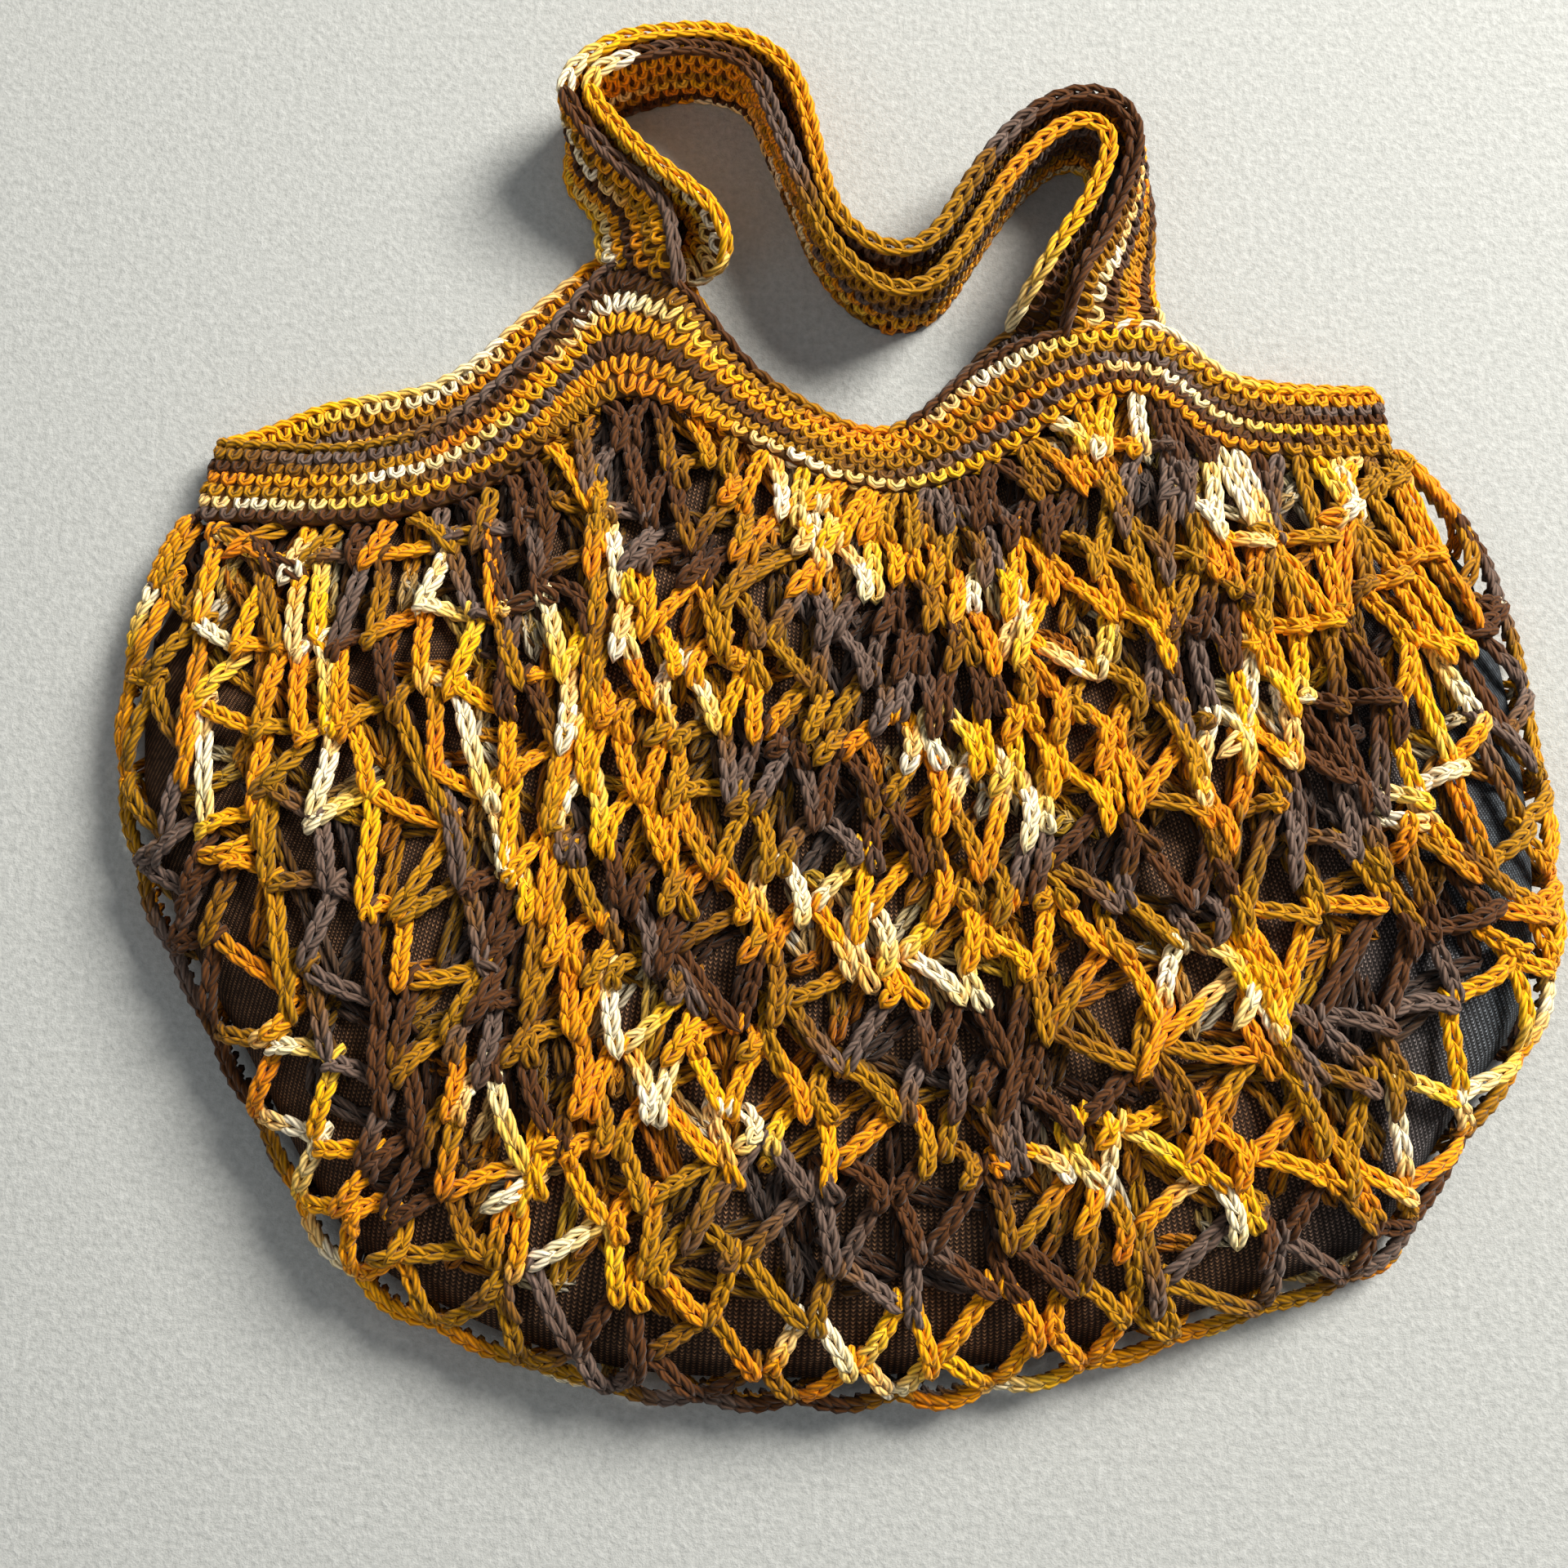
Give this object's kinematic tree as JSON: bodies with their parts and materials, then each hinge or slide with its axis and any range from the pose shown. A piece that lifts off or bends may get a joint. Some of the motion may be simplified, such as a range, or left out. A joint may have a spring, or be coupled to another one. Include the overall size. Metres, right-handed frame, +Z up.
{
  "type": "crocheted net bag",
  "caption": "Crocheted diamond-net bag lying flat, with a worked rim band, curling straps and a thin dark knit lining.",
  "frame": {"origin": "middle of the box that holds the bag, on the surface that it lies on", "axes": "+X across the bag to the right, +Y from the bottom fold to the straps, +Z up from the surface"},
  "size_m": [0.4454, 0.429, 0.0423],
  "materials": {
    "net_yarn": "soft variegated cotton yarn in gold, olive, brown and cream, matt",
    "band_yarn": "plump rows of variegated cotton crochet stitches, matt",
    "strap_front_yarn": "plump rows of variegated cotton crochet stitches, matt",
    "strap_back_yarn": "plump rows of variegated cotton crochet stitches, matt",
    "lining_knit": "fine dark brown speckled knit, matt"
  },
  "bodies": {
    "root": {"net_front": "net_yarn", "net_back": "net_yarn", "rim_band": "band_yarn", "strap_front": "strap_front_yarn", "strap_back": "strap_back_yarn", "lining": "lining_knit"}
  },
  "joints": []
}
